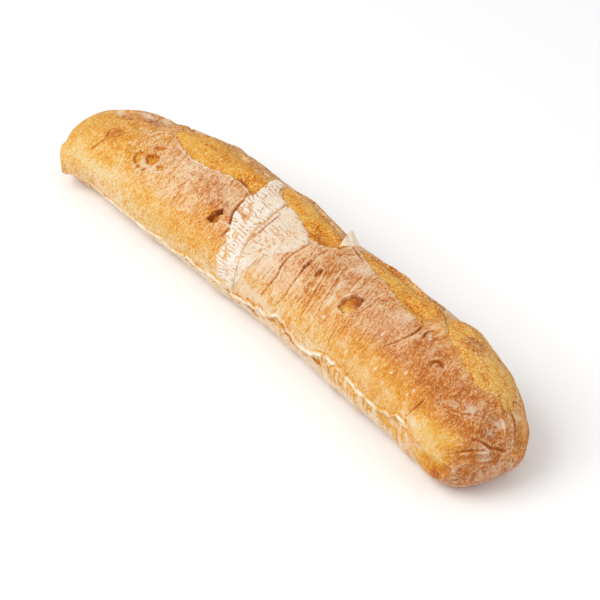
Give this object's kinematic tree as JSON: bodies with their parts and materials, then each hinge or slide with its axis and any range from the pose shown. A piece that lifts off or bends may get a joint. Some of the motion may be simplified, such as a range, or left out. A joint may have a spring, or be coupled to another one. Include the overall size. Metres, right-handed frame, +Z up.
{
  "type": "baguette",
  "caption": "Short, thick baguette with a bowed, blunt-ended loaf, a slashed and blistered golden crust dusted with flour, and a flat base.",
  "frame": {"origin": "centre of the loaf's length and width, on the surface that it rests on", "axes": "+X along the loaf toward the end with the paler tip and the flour-dusted folds, +Z up through the slashed crown, -Y toward the side whose seam and burst blisters show"},
  "size_m": [0.4, 0.0866, 0.0621],
  "materials": {
    "crust": "matte golden-brown baked crust with a light dusting of flour"
  },
  "bodies": {
    "root": {"loaf": "crust"}
  },
  "joints": []
}
